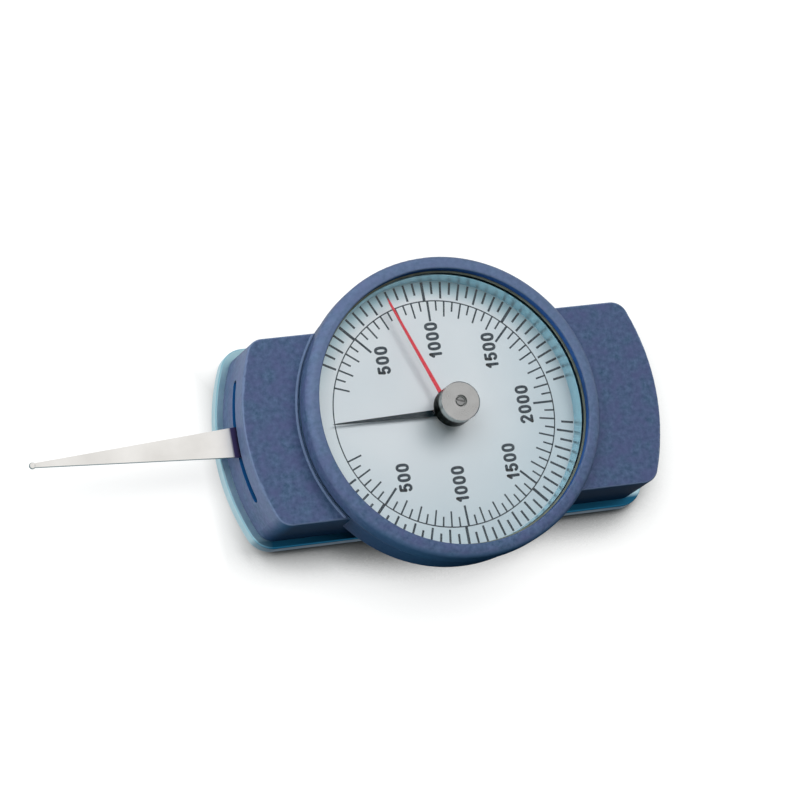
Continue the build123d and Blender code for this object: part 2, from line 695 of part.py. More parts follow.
def reset_knob():
    """Turned knob, recessed below for its washer, bored for spindle and screw."""
    knob = turned([(0, KNOB_RECESS_TOP), (KNOB_RECESS_R, KNOB_RECESS_TOP),
                   (KNOB_RECESS_R, KNOB_BOTTOM), (KNOB_R, KNOB_BOTTOM),
                   (KNOB_R, KNOB_TOP - KNOB_CHAMFER), (KNOB_R - KNOB_CHAMFER, KNOB_TOP),
                   (0, KNOB_TOP)])
    knob -= cylinder(SPINDLE_R, KNOB_RECESS_TOP, SPINDLE_TOP)
    knob -= cylinder(KNOB_SCREW_R + THREAD_GAP, SPINDLE_TOP, KNOB_SCREW_SEAT)
    return knob - cylinder(KNOB_SCREW_BORE_R, KNOB_SCREW_SEAT, KNOB_TOP)


def knob_screw():
    """Slotted screw with a crowned head, sunk in the knob's top."""
    head = cylinder(KNOB_SCREW_HEAD_R, KNOB_SCREW_SEAT, KNOB_SCREW_TOP)
    head = fillet(circles_at(head, KNOB_SCREW_HEAD_R, KNOB_SCREW_TOP), KNOB_SCREW_CROWN_R)
    slot = Box(2 * KNOB_SCREW_HEAD_R + 1, SLOT_CUT, 2 * SLOT_CUT)
    head -= Pos(0, 0, KNOB_SCREW_TOP) * Rot(0, 0, KNOB_SCREW_TURN) * slot
    return head + cylinder(KNOB_SCREW_R, SPINDLE_TOP - KNOB_SCREW_REACH, KNOB_SCREW_SEAT)


def friction_washer():
    """Dished washer between the crystal bush and the knob."""
    low = CRYSTAL_TOP + BUSH_LIP + WASHER_CLEARANCE
    high = KNOB_RECESS_TOP - WASHER_CLEARANCE
    return turned([(WASHER_INNER_R, high - WASHER_THICK), (WASHER_OUTER_R, low),
                   (WASHER_OUTER_R, low + WASHER_THICK), (WASHER_INNER_R, high)])


def main():
    """Builds every piece and writes each to a file of its own."""
    spring = measuring_spring()
    hair = hairspring()
    blade = feeler_blade()
    bridge_top = BRIDGE_Z + PLATE_THICK
    main_low = MAIN_SPRING_Z - COLLET_PAST_SPRING
    main_high = MAIN_SPRING_Z + MAIN_SPRING_HEIGHT + COLLET_PAST_SPRING
    hair_low = HAIR_SPRING_Z - COLLET_PAST_SPRING
    hair_high = HAIR_SPRING_Z + HAIR_SPRING_HEIGHT + COLLET_PAST_SPRING
    parts = {
        "front_housing": front_housing(),
        "back_cover": back_cover(),
        "back_cover_screws": back_cover_screws(),
        "dial_plate": dial_plate(),
        "spacer_ring": spacer_ring(),
        "crystal": crystal(),
        "crystal_ring": crystal_ring(),
        "crystal_bush": crystal_bush(),
        "bridge_plate": bridge_plate(),
        "base_plate": base_plate(),
        "plate_pillars": plate_pillars(),
        "pillar_screws": cheese_screws(PILLAR_PLACES, BASE_Z, BASE_Z + PILLAR_SCREW_LENGTH,
                                       SCREW_HEAD_R, SCREW_R, SCREW_HEAD_HEIGHT, False),
        "bridge_screws": cheese_screws(BRIDGE_SCREW_PLACES, BRIDGE_Z, bridge_top + BRIDGE_SCREW_BITE,
                                       SCREW_HEAD_R, SCREW_R, SCREW_HEAD_HEIGHT, False),
        "lever_bushes": bushes(LEVER_BUSH_R, (LEVER_X, 0), LEVER_PIVOT_R + RUNNING_GAP,
                               LEVER_PIVOT_R + RUNNING_GAP),
        "pinion_bushes": bushes(PINION_BUSH_R, (0, 0), POINTER_FOOT_R + RUNNING_GAP,
                                POINTER_NECK_R + RUNNING_GAP),
        "travel_stops": travel_stops(),
        "measuring_spring": spring,
        "measuring_spring_stud": spring_stud(MAIN_STUD_PLACE, MAIN_STUD_R, main_high, spring),
        "hairspring": hair,
        "hairspring_stud": spring_stud(HAIR_STUD_PLACE, HAIR_STUD_R, hair_high, hair),
        "lever_arbor": lever_arbor(),
        "measuring_spring_collet": tube(MAIN_COLLET_R, LEVER_R, main_low, main_high, (LEVER_X, 0)),
        "sector_gear": sector_gear(),
        "feeler_carrier": feeler_carrier(),
        "feeler_blade": blade,
        "feeler_tip": feeler_tip(blade),
        "clamp_screws": cheese_screws(clamp_places(), FEELER_Z + BLADE_THICK / 2, CARRIER_Z,
                                      CLAMP_HEAD_R, SCREW_R, CLAMP_HEAD_HEIGHT, True),
        "pointer_arbor": pointer_arbor(),
        "centre_pinion": centre_pinion(),
        "hairspring_collet": tube(HAIR_COLLET_R, POINTER_R, hair_low, hair_high),
        "pointer_hand": pointer_hand(),
        "pointer_hub": pointer_hub(),
        "drive_pin": drive_pin(),
        "max_pointer_hand": max_pointer_hand(),
        "max_pointer_hub": max_pointer_hub(),
        "knob_spindle": knob_spindle(),
        "reset_knob": reset_knob(),
        "knob_screw": knob_screw(),
        "friction_washer": friction_washer(),
    }
    os.makedirs("parts", exist_ok=True)
    for name, solid in parts.items():
        export_step(solid, "parts/" + name + ".step")


main()
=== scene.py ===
import math
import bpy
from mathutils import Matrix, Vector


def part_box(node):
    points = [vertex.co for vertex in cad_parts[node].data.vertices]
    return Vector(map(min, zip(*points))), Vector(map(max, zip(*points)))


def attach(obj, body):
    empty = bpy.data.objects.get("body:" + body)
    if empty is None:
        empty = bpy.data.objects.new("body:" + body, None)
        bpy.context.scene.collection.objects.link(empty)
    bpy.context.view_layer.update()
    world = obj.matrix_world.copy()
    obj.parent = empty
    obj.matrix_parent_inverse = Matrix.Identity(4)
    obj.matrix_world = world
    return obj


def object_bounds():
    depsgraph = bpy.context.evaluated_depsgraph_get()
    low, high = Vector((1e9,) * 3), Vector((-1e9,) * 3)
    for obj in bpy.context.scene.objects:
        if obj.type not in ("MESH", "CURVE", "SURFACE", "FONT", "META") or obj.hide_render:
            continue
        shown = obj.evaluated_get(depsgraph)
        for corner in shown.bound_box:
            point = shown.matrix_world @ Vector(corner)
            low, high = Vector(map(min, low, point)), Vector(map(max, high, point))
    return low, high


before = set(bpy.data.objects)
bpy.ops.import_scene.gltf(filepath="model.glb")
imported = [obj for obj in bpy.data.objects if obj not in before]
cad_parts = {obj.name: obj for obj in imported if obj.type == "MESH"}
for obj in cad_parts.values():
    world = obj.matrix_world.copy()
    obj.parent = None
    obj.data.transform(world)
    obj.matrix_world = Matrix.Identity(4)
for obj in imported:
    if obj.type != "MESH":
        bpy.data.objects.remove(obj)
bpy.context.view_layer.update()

from types import SimpleNamespace

import bpy
import numpy as np
from mathutils import Matrix, Vector

MM = 0.001

# Dial print, in millimetres from the dial's centre
PRINT_THICK = 0.02
PRINT_SUNK = 0.01
CIRCLE_R = 25.64
CIRCLE_WIDTH = 0.27
CIRCLE_POINTS = 180
NOUGHT_POINTS = 36
NOUGHT_POWER = 0.8
DIGIT_HEIGHT = 3.1
DIGIT_WIDTH = 1.9
DIGIT_PITCH = 2.25
DIGIT_STROKE = 0.66
ONE_NARROWER = 0.35
ROUND_END_DEGREES = (15, 40, 65)
NUMBER_PLACES = {
    "500": [(-12.1, -13.3), (-12.1, 13.3)],
    "1000": [(0.45, -16.4), (0.45, 16.4)],
    "1500": [(13.15, -12.7), (13.15, 12.7)],
    "2000": [(18.8, 0.0)],
}

# Graduations, in millimetres: a line for every step of the reading, longer at round readings, from
# the start radius inwards to its reach. A scale's spacing is in degrees from the zero mark on -X:
# the even part for each 1000 of the reading, then the size of a half wave and of a whole wave over
# the scale.
SCALE_STEP = 50
MEDIUM_EVERY = 100
LONG_EVERY = 500
HALF_TURN_READING = 2000
LINE_WIDTH = {"short": 0.38, "medium": 0.38, "long": 0.50}
INNER_SCALE = {
    "first": 200,
    "last": 2000,
    "spacing": (90.0, 1.63, 0.85),
    "start_r": CIRCLE_R,
    "reach": {"short": 23.4, "medium": 22.1, "long": 21.0},
    "width_growth": 1.0,
}
OUTER_SCALE = {
    "first": 300,
    "last": 1950,
    "spacing": (87.0, 3.2, 0.74),
    "start_r": 30.0,
    "reach": {"short": 27.2, "medium": 26.2, "long": CIRCLE_R},
    "width_growth": 1.3,
}

# Camera, in metres: a long lens above the blade's side of the gauge
CAMERA_PLACE = (-0.30353, -0.16781, 0.82790)
CAMERA_TARGET = (-0.00960, 0.00416, 0.01900)
CAMERA_UP = (0.10481, 0.96432, 0.24311)
CAMERA_LENS = 180
CAMERA_SENSOR = 36

# Tones of the enamel: linear red, green and blue; past the mottle they are painted light and shade
ENAMEL_DEEP = (0.034, 0.072, 0.136)
ENAMEL_SPECK = (0.093, 0.143, 0.252)
ENAMEL_VIOLET = (0.084, 0.087, 0.205)
FRONT_SHADE_LOW_TONE = (0.008, 0.050, 0.120)
FRONT_SHADE_HIGH_TONE = (0.035, 0.125, 0.245)
WALL_SHADE_TONE = (0.022, 0.048, 0.105)
SHEEN_AND_WEAR_TONE = (0.18, 0.24, 0.38)
CHANNEL_LIGHT_TONE = (0.20, 0.36, 0.60)
SLOT_SHADE_TONE = (0.012, 0.110, 0.330)
MOUTH_SHADE_TONE = (0.020, 0.085, 0.290)

# Where the enamel's painted light and shade lie, in metres: painted light on the rim of the dial case,
# on the channel and bead round its foot and on the edge of the pads, painted shade on the wall of the
# dial case and in the feeler slot, painted light on the end of the neck, painted shade on walls that
# face -Y and in the mouth of the dial case
TONE_FADE = 0.0001
RIM_TOP = 0.0270
RIM_FADE = 0.0012
RIM_LIGHT_Y = (-0.024, 0.006)
CHANNEL_R = (0.0330, 0.0337)
CHANNEL_HEIGHTS = (0.0190, 0.0198)
BEAD_R = (0.0338, 0.0344)
EDGE_HEIGHTS = (0.0194, 0.0206)
EDGE_FADE = 0.001
WALL_SHADE_HEIGHTS = (0.0198, 0.0260)
SLOT_HEIGHTS = (0.0120, 0.0125)
SLOT_SHADE = 0.003
NECK_R = 0.0355
NECK_FADE = 0.001
SHADE_HEIGHTS = (0.0080, 0.0200)
MOUTH_R = 0.0311
MOUTH_R_FADE = 0.0002
MOUTH_HEIGHTS = (0.0202, 0.0266)
MOUTH_FADE = 0.0004

# How the enamel's painted light and shade follow the way that a wall faces, from -1 against an axis to 1
# along it
BOTTOM_FACING = (0.3, 0.6)
EDGE_FACING_FROM = (0.05, 0.40)
EDGE_FACING_TO = (0.85, 0.99)
FRONT_SHADE_FACING = (-0.95, -0.45)
WALL_SHADE_FACING = (-0.7, -0.3)
END_LIGHT_FACING = (-0.9, -0.5)

# How strongly each of the enamel's tones is laid on, at the two ends of its band where it has two
CLOUD_SHARE = 0.6
FRONT_SHADE_SHARE = 0.8
WALL_SHADE_SHARE = 0.6
EDGE_SHEEN_AND_WEAR_SHARES = (0.55, 0.12)
RIM_LIGHT_SHARE = 0.35
RIM_LIGHT_SHARES_Y = (0.1, 1.0)
BEAD_HIGHLIGHT_SHARE = 0.6
END_LIGHT_SHARES = (0.14, 0.30)

# Pressed tray: painted shade on its lip by the way it faces, and where painted shade darkens its ledge
# in metres, on the -Y side up to the feeler's end
LIP_SHADE_TONE = (0.20, 0.42, 0.52)
LIP_FACING_FROM = (0.1, 0.5)
LIP_FACING_TO = (0.9, 0.995)
LIP_SHADE_SHARE = 0.7
LEDGE_SHADE_TONE = (0.012, 0.100, 0.185)
LEDGE_Y = -0.0200
LEDGE_X = -0.0475
LEDGE_FADE_Y = 0.0010
LEDGE_FADE_X = 0.0080

# Dial: painted light, palest round one spot, and painted shade away from it, and a painted rim shadow at
# its edge on the +Y side; places in metres
SILVER_TONE = (0.725, 0.735, 0.775)
SILVER_CLOUD = (0.78, 0.785, 0.82)
SILVER_SPECK = (0.81, 0.82, 0.84)
SILVER_SPECK_SHARE = 0.25
SILVER_SHADE = (0.43, 0.53, 0.59)
SILVER_SHADE_SHARE = 0.75
SILVER_LIGHT_AT = (-0.009, 0.009, 0.020)
SILVER_SHADE_FADE = (0.018, 0.043)
RIM_SHADOW_TONE = (0.30, 0.55, 0.63)
RIM_SHADOW_SHARE = 0.7
RIM_SHADOW_R = (0.0262, 0.0290)
RIM_SHADOW_Y = (0.005, 0.025)

# Feeler blade: the painted shade on its sides, and the painted shadow at its root with where it starts
# in metres
BLADE_SIDE_SHADE_TONE = (0.05, 0.12, 0.14)
BLADE_SIDE_FACING = (0.3, 0.7)
ROOT_SHADOW_TONE = (0.075, 0.058, 0.150)
ROOT_SHADOW_X = (-0.0480, -0.0475)

# Knob: a painted reflection on its side, light above these heights, in metres, and near black below them
KNOB_SIDE_FACING = (0.2, 0.5)
KNOB_REFLECTION_LIGHT_TONE = (0.56, 0.60, 0.59)
KNOB_REFLECTION_DARK_TONE = (0.012, 0.016, 0.015)
KNOB_REFLECTION_DARK_HEIGHTS = (0.0281, 0.0291)
KNOB_EDGE_TINT = (0.5, 0.5, 0.5)

# Where a small piece's edge is rubbed, its light tone is made this many times brighter and laid on
# this strongly
METAL_RUBBED_TIMES = 1.15
METAL_RUBBED_SHARE = 0.3
PAINT_RUBBED_TIMES = 1.3
PAINT_RUBBED_SHARE = 0.35

# The useful band of plain noise, and of two noises added
NOISE_BAND = (0.3, 0.7)
NOISE_SUM_BAND = (0.7, 1.3)

# Crystal
CRYSTAL_TONE = (0.970, 0.992, 0.992)
CRYSTAL_CLEAR = (0.985, 0.998, 0.998)
CRYSTAL_SHADOW = (0.985, 0.995, 0.995)
CRYSTAL_IOR = 1.34

# Lamps: place and size in metres, power in watts
WHITE = (1.0, 1.0, 1.0)
LAMPS = {
    "key": {"place": (0.31, 0.46, 1.50), "size": 0.8, "power": 12.5, "tint": (1.0, 0.985, 0.96)},
    "fill": {"place": (-0.50, 0.35, 1.45), "size": 1.0, "power": 8.5, "tint": (0.92, 0.98, 1.0)},
    "side card": {"place": (-1.35, 0.05, 0.16), "size": 0.5, "power": 12.0, "tint": (1.0, 0.99, 0.97)},
}

# Light from all round: its strength, and how little of it comes from the -Y side
AMBIENT = 0.30
AMBIENT_TINT = (0.74, 0.93, 1.0)
AMBIENT_FRONT_SHARE = 0.15
AMBIENT_Y = (-0.8, 0.1)

# Floor, in metres: its paint, its own glow, the painted dark sheet on the -Y side that throws little
# light back, and the painted contact shadow where the gauge stands on it
FLOOR_SIZE = 6.0
FLOOR_GAP = 0.0001
FLOOR_GLOW = 0.80
FLOOR_TONE = (0.31, 0.305, 0.30)
FLOOR_BOUNCE = (0.60, 0.62, 0.64)
SHADE_SHEET_BOUNCE = (0.02, 0.06, 0.10)
SHADE_SHEET_Y = (-0.032, -0.020)
SHADE_SHEET_X = (-0.057, -0.045)
CONTACT_REACH = 0.013
CONTACT_OPEN = (0.58, 0.93)
CONTACT_NONE_Y = (0.004, 0.022)
CONTACT_NONE_X = (-0.0510, -0.0380)
CONTACT_MIRRORED = 0.85


# Shader helpers

def add(tree, kind, inputs=None, **settings):
    """A node with its plain settings and the values of its named inputs."""
    made = tree.nodes.new(kind)
    for name, value in settings.items():
        setattr(made, name, value)
    for name, value in (inputs or {}).items():
        made.inputs[name].default_value = value
    return made


def join(tree, source, target):
    """Links an output to an input."""
    tree.links.new(source, target)


def opaque(tone):
    """A tone as the colour that a socket takes, with its full fourth part."""
    return (*tone, 1.0)


def brighter(tone, times):
    """A tone made brighter, held at white."""
    return tuple(min(1.0, times * part) for part in tone)


def arithmetic(tree, operation, first, second, clamp=False):
    """A Math node; each side is a socket or a number."""
    made = add(tree, "ShaderNodeMath", operation=operation, use_clamp=clamp)
    for place, side in enumerate((first, second)):
        if isinstance(side, (int, float)):
            made.inputs[place].default_value = side
        else:
            join(tree, side, made.inputs[place])
    return made.outputs[0]


def product(tree, first, *others):
    """Masks or numbers multiplied together."""
    result = first
    for other in others:
        result = arithmetic(tree, "MULTIPLY", result, other)
    return result


def greatest(tree, first, *others):
    """The strongest of several masks."""
    result = first
    for other in others:
        result = arithmetic(tree, "MAXIMUM", result, other)
    return result


def spread(tree, value, low, high, to_low, to_high):
    """Carries a value from one range to another, held at its ends."""
    made = add(tree, "ShaderNodeMapRange",
               {"From Min": low, "From Max": high, "To Min": to_low, "To Max": to_high})
    join(tree, value, made.inputs["Value"])
    return made.outputs["Result"]


def rising(tree, value, band):
    """A mask that goes from 0 to 1 as the value crosses a band."""
    return spread(tree, value, *band, 0.0, 1.0)


def falling(tree, value, band):
    """A mask that goes from 1 to 0 as the value crosses a band."""
    return spread(tree, value, *band, 1.0, 0.0)


def within(tree, value, band, fade):
    """1 inside a band of values, fading to 0 just outside it."""
    over = rising(tree, value, (band[0] - fade, band[0]))
    under = falling(tree, value, (band[1], band[1] + fade))
    return product(tree, over, under)


def between(tree, share, first, second):
    """Mixes two colours by a mask; each colour is a socket or a tone."""
    made = add(tree, "ShaderNodeMix", data_type="RGBA")
    join(tree, share, made.inputs[0])
    for place, side in ((6, first), (7, second)):
        if isinstance(side, tuple):
            made.inputs[place].default_value = opaque(side)
        else:
            join(tree, side, made.inputs[place])
    return made.outputs[2]


def bumped(tree, height, strength, distance):
    """A normal that follows a height."""
    made = add(tree, "ShaderNodeBump", {"Strength": strength, "Distance": distance})
    join(tree, height, made.inputs["Height"])
    return made.outputs["Normal"]


def place_in_object(tree):
    """Where a point lies in the object's own frame, in metres."""
    return add(tree, "ShaderNodeTexCoord").outputs["Object"]


def parts_of(tree, vector):
    """The X, Y and Z of a vector."""
    made = add(tree, "ShaderNodeSeparateXYZ")
    join(tree, vector, made.inputs[0])
    return made.outputs


def facing(tree):
    """The way that a surface faces in its own object: 1 along an axis, 0 across, -1 against it."""
    return parts_of(tree, add(tree, "ShaderNodeTexCoord").outputs["Normal"])


def radius_in_object(tree):
    """Distance from the dial axis in the object's own frame, in metres."""
    flat = add(tree, "ShaderNodeVectorMath", operation="MULTIPLY")
    flat.inputs[1].default_value = (1.0, 1.0, 0.0)
    join(tree, place_in_object(tree), flat.inputs[0])
    length = add(tree, "ShaderNodeVectorMath", operation="LENGTH")
    join(tree, flat.outputs["Vector"], length.inputs[0])
    return length.outputs["Value"]


# Effects that several materials share

def group(name, inputs, outputs):
    """An empty node group: inputs are names with their default numbers, outputs are names."""
    tree = bpy.data.node_groups.new(name, "ShaderNodeTree")
    for title, value in inputs.items():
        socket = tree.interface.new_socket(name=title, in_out="INPUT", socket_type="NodeSocketFloat")
        socket.default_value = value
    for title in outputs:
        tree.interface.new_socket(name=title, in_out="OUTPUT", socket_type="NodeSocketFloat")
    return tree, tree.nodes.new("NodeGroupInput"), tree.nodes.new("NodeGroupOutput")


def use(tree, effect, inputs=None):
    """Places an effect in a material, with its own values, and gives the effect's outputs."""
    return add(tree, "ShaderNodeGroup", inputs, node_tree=effect).outputs


def noise(tree, place, inputs):
    """Plain noise at a place, about 0.5."""
    made = add(tree, "ShaderNodeTexNoise", inputs)
    join(tree, place, made.inputs["Vector"])
    return made


def make_mottle():
    """Uneven enamel: fine speckle and broad clouds, with a height for the bump. Scales are in
    spots per metre."""
    tree, given, result = group("mottle", {"Speckle Scale": 1400.0, "Cloud Scale": 160.0},
                                ["Speckle", "Cloud", "Height"])
    place = place_in_object(tree)
    speckle = noise(tree, place, {"Detail": 3.0, "Roughness": 0.6})
    cloud = noise(tree, place, {"Detail": 2.0, "Roughness": 0.5})
    cell = add(tree, "ShaderNodeTexVoronoi", feature="SMOOTH_F1")
    join(tree, place, cell.inputs["Vector"])
    join(tree, given.outputs["Speckle Scale"], speckle.inputs["Scale"])
    join(tree, given.outputs["Cloud Scale"], cloud.inputs["Scale"])
    join(tree, given.outputs["Speckle Scale"], cell.inputs["Scale"])
    join(tree, rising(tree, speckle.outputs["Fac"], NOISE_BAND), result.inputs["Speckle"])
    join(tree, rising(tree, cloud.outputs["Fac"], NOISE_BAND), result.inputs["Cloud"])
    height = arithmetic(tree, "ADD", speckle.outputs["Fac"], cell.outputs["Distance"])
    join(tree, height, result.inputs["Height"])
    return tree


def make_edge_sheen_and_wear():
    """Where an edge is rounded off within the radius, broken up by noise: 1 on edges, 0 on flats. Small
    pieces take it as edge wear; the enamel takes it as a painted highlight together with edge wear.
    """
    tree, given, result = group("edge sheen and wear", {"Radius": 0.0005, "Gain": 3.0}, ["Edge"])
    bevel = add(tree, "ShaderNodeBevel", samples=6)
    join(tree, given.outputs["Radius"], bevel.inputs["Radius"])
    turn = add(tree, "ShaderNodeVectorMath", operation="DOT_PRODUCT")
    join(tree, bevel.outputs["Normal"], turn.inputs[0])
    join(tree, add(tree, "ShaderNodeNewGeometry").outputs["Normal"], turn.inputs[1])
    bent = arithmetic(tree, "SUBTRACT", 1.0, turn.outputs["Value"])
    strong = arithmetic(tree, "MULTIPLY", bent, given.outputs["Gain"], clamp=True)
    patches = noise(tree, place_in_object(tree), {"Scale": 700.0, "Detail": 3.0})
    broken = spread(tree, patches.outputs["Fac"], 0.35, 0.6, 0.3, 1.0)
    join(tree, product(tree, strong, broken), result.inputs["Edge"])
    return tree


def make_grain():
    """Fine parallel scratches along X, from noise squeezed across them, and slow smudges."""
    tree, given, result = group("grain", {"Lines": 9000.0, "Along": 200.0}, ["Scratch", "Smudge"])
    place = place_in_object(tree)
    scale = add(tree, "ShaderNodeCombineXYZ")
    join(tree, given.outputs["Along"], scale.inputs["X"])
    join(tree, given.outputs["Lines"], scale.inputs["Y"])
    join(tree, given.outputs["Lines"], scale.inputs["Z"])
    squeezed = add(tree, "ShaderNodeVectorMath", operation="MULTIPLY")
    join(tree, place, squeezed.inputs[0])
    join(tree, scale.outputs["Vector"], squeezed.inputs[1])
    scratch = noise(tree, squeezed.outputs["Vector"], {"Scale": 1.0, "Detail": 2.0})
    smudge = noise(tree, place, {"Scale": 120.0, "Detail": 3.0})
    join(tree, scratch.outputs["Fac"], result.inputs["Scratch"])
    join(tree, smudge.outputs["Fac"], result.inputs["Smudge"])
    return tree


def make_turning():
    """Tool marks of a lathe: rings about the dial axis, uneven in depth, and slow smudges. Rings
    are counted by radius plus height, so that they run on down a turned side."""
    tree, given, result = group("turning", {"Rings": 6000.0}, ["Ring", "Smudge"])
    place = place_in_object(tree)
    depth = arithmetic(tree, "ADD", radius_in_object(tree), parts_of(tree, place)["Z"])
    rings = add(tree, "ShaderNodeTexNoise", {"Scale": 1.0, "Detail": 2.0}, noise_dimensions="1D")
    join(tree, product(tree, depth, given.outputs["Rings"]), rings.inputs["W"])
    smudge = noise(tree, place, {"Scale": 260.0, "Detail": 3.0})
    join(tree, rings.outputs["Fac"], result.inputs["Ring"])
    join(tree, smudge.outputs["Fac"], result.inputs["Smudge"])
    return tree


MOTTLE = make_mottle()
EDGE_SHEEN_AND_WEAR = make_edge_sheen_and_wear()
GRAIN = make_grain()
TURNING = make_turning()

# How a bare metal is worked: its effect, and the effect's output that holds the marks
WORKED = {"ground": (GRAIN, "Scratch"), "turned": (TURNING, "Ring")}


# Materials, one function per finish

def blank(name):
    """A material with only its output, and the Principled shader joined to it."""
    material = bpy.data.materials.new(name)
    material.use_nodes = True
    tree = material.node_tree
    tree.nodes.clear()
    output = add(tree, "ShaderNodeOutputMaterial")
    shader = add(tree, "ShaderNodeBsdfPrincipled")
    join(tree, shader.outputs["BSDF"], output.inputs["Surface"])
    return material, tree, shader


def metal(name, worked, dark, light, rough, strength, depth, inputs=None):
    """Bare metal: the marks of how it was worked colour it between two tones, roughen it and show
    in the bump."""
    material, tree, shader = blank(name)
    effect, line = WORKED[worked]
    marks = use(tree, effect, inputs)
    edge = use(tree, EDGE_SHEEN_AND_WEAR, {"Radius": 0.0003, "Gain": 2.0})["Edge"]
    base = between(tree, rising(tree, marks["Smudge"], NOISE_BAND), dark, light)
    base = between(tree, product(tree, edge, METAL_RUBBED_SHARE), base,
                   brighter(light, METAL_RUBBED_TIMES))
    join(tree, base, shader.inputs["Base Color"])
    mixed = arithmetic(tree, "ADD", marks[line], marks["Smudge"])
    join(tree, spread(tree, mixed, *NOISE_SUM_BAND, *rough), shader.inputs["Roughness"])
    join(tree, bumped(tree, marks[line], strength, depth), shader.inputs["Normal"])
    shader.inputs["Metallic"].default_value = 1.0
    return material


def painted(name, dark, light, rough):
    """Thin paint on a small piece, worn slightly at its edges."""
    material, tree, shader = blank(name)
    mottle = use(tree, MOTTLE, {"Speckle Scale": 3500.0, "Cloud Scale": 400.0})
    edge = use(tree, EDGE_SHEEN_AND_WEAR, {"Radius": 0.0001, "Gain": 2.0})["Edge"]
    base = between(tree, mottle["Cloud"], dark, light)
    base = between(tree, product(tree, edge, PAINT_RUBBED_SHARE), base,
                   brighter(light, PAINT_RUBBED_TIMES))
    join(tree, base, shader.inputs["Base Color"])
    join(tree, spread(tree, mottle["Speckle"], 0, 1, *rough), shader.inputs["Roughness"])
    join(tree, bumped(tree, mottle["Height"], 0.1, 0.00001), shader.inputs["Normal"])
    shader.inputs["Specular IOR Level"].default_value = 0.25
    return material


def overlay(material, layers):
    """Lays tones over a material's colour, one over the other, and gives back its shader. Each
    layer is a function that makes its mask in the material's tree, and its tone."""
    tree = material.node_tree
    shader = next(one for one in tree.nodes if one.type == "BSDF_PRINCIPLED")
    base = shader.inputs["Base Color"].links[0].from_socket
    for mask, tone in layers:
        base = between(tree, mask(tree), base, tone)
    join(tree, base, shader.inputs["Base Color"])
    return shader


def spot_on_case(tree):
    """What the enamel's masks read of a point: its height, its distance from the dial axis and
    its Y in metres, and the way that it faces."""
    place = parts_of(tree, place_in_object(tree))
    return SimpleNamespace(height=place["Z"], radius=radius_in_object(tree), y=place["Y"],
                           facing=facing(tree))


def case_wall_shade(tree, spot):
    """Painted shade on the dial case's wall where it looks towards the feeler, deepest at its foot."""
    inside = falling(tree, spot.radius, (NECK_R - NECK_FADE, NECK_R))
    low = falling(tree, spot.height, WALL_SHADE_HEIGHTS)
    towards = falling(tree, spot.facing["X"], WALL_SHADE_FACING)
    return product(tree, inside, low, towards, WALL_SHADE_SHARE)


def neck_end_light(tree, spot):
    """Painted light on the end of the neck, paler above the feeler slot than below it."""
    towards = falling(tree, spot.facing["X"], END_LIGHT_FACING)
    share = spread(tree, spot.height, SLOT_HEIGHTS[1], SLOT_HEIGHTS[1] + SLOT_SHADE, *END_LIGHT_SHARES)
    beyond = rising(tree, spot.radius, (NECK_R, NECK_R + NECK_FADE))
    return product(tree, towards, share, beyond)


def sheen_and_wear(tree, spot):
    """Where the enamel is pale: painted highlights on rounded edges with edge wear, less so above the
    pads, then a painted highlight on the bead, painted light on the rim towards +Y, and painted light on
    the neck's end."""
    up = spot.facing["Z"]
    # Painted highlights along rounded edges, where the edge mask also stands for wear, and on the bead;
    # painted light on the rim towards +Y
    edge = use(tree, EDGE_SHEEN_AND_WEAR, {"Radius": 0.0008, "Gain": 3.0})["Edge"]
    rounded = product(tree, rising(tree, up, EDGE_FACING_FROM), falling(tree, up, EDGE_FACING_TO))
    share = spread(tree, spot.height, EDGE_HEIGHTS[1], EDGE_HEIGHTS[1] + EDGE_FADE, *EDGE_SHEEN_AND_WEAR_SHARES)
    worn = product(tree, greatest(tree, rounded, edge), share)
    bead = product(tree, within(tree, spot.radius, BEAD_R, TONE_FADE),
                   within(tree, spot.height, EDGE_HEIGHTS, TONE_FADE), BEAD_HIGHLIGHT_SHARE)
    rim = product(tree, rising(tree, spot.height, (RIM_TOP - RIM_FADE, RIM_TOP)),
                  spread(tree, spot.y, *RIM_LIGHT_Y, *RIM_LIGHT_SHARES_Y), RIM_LIGHT_SHARE)
    return greatest(tree, worn, rim, bead, neck_end_light(tree, spot))


def channel_bottom_light(tree, spot):
    """Painted light on the bottom of the channel round the dial case's foot."""
    return product(tree, within(tree, spot.radius, CHANNEL_R, TONE_FADE),
                   within(tree, spot.height, CHANNEL_HEIGHTS, TONE_FADE),
                   rising(tree, spot.facing["Z"], BOTTOM_FACING))


def slot_bottom_shade(tree, spot):
    """Painted shade, a saturated navy, on the bottom of the feeler slot."""
    return product(tree, within(tree, spot.height, SLOT_HEIGHTS, TONE_FADE),
                   rising(tree, spot.facing["Z"], BOTTOM_FACING))


def case_mouth_shade(tree, spot):
    """Painted shade on the wall inside the dial case's mouth, down to the dial."""
    return product(tree, falling(tree, spot.radius, (MOUTH_R, MOUTH_R + MOUTH_R_FADE)),
                   within(tree, spot.height, MOUTH_HEIGHTS, MOUTH_FADE))


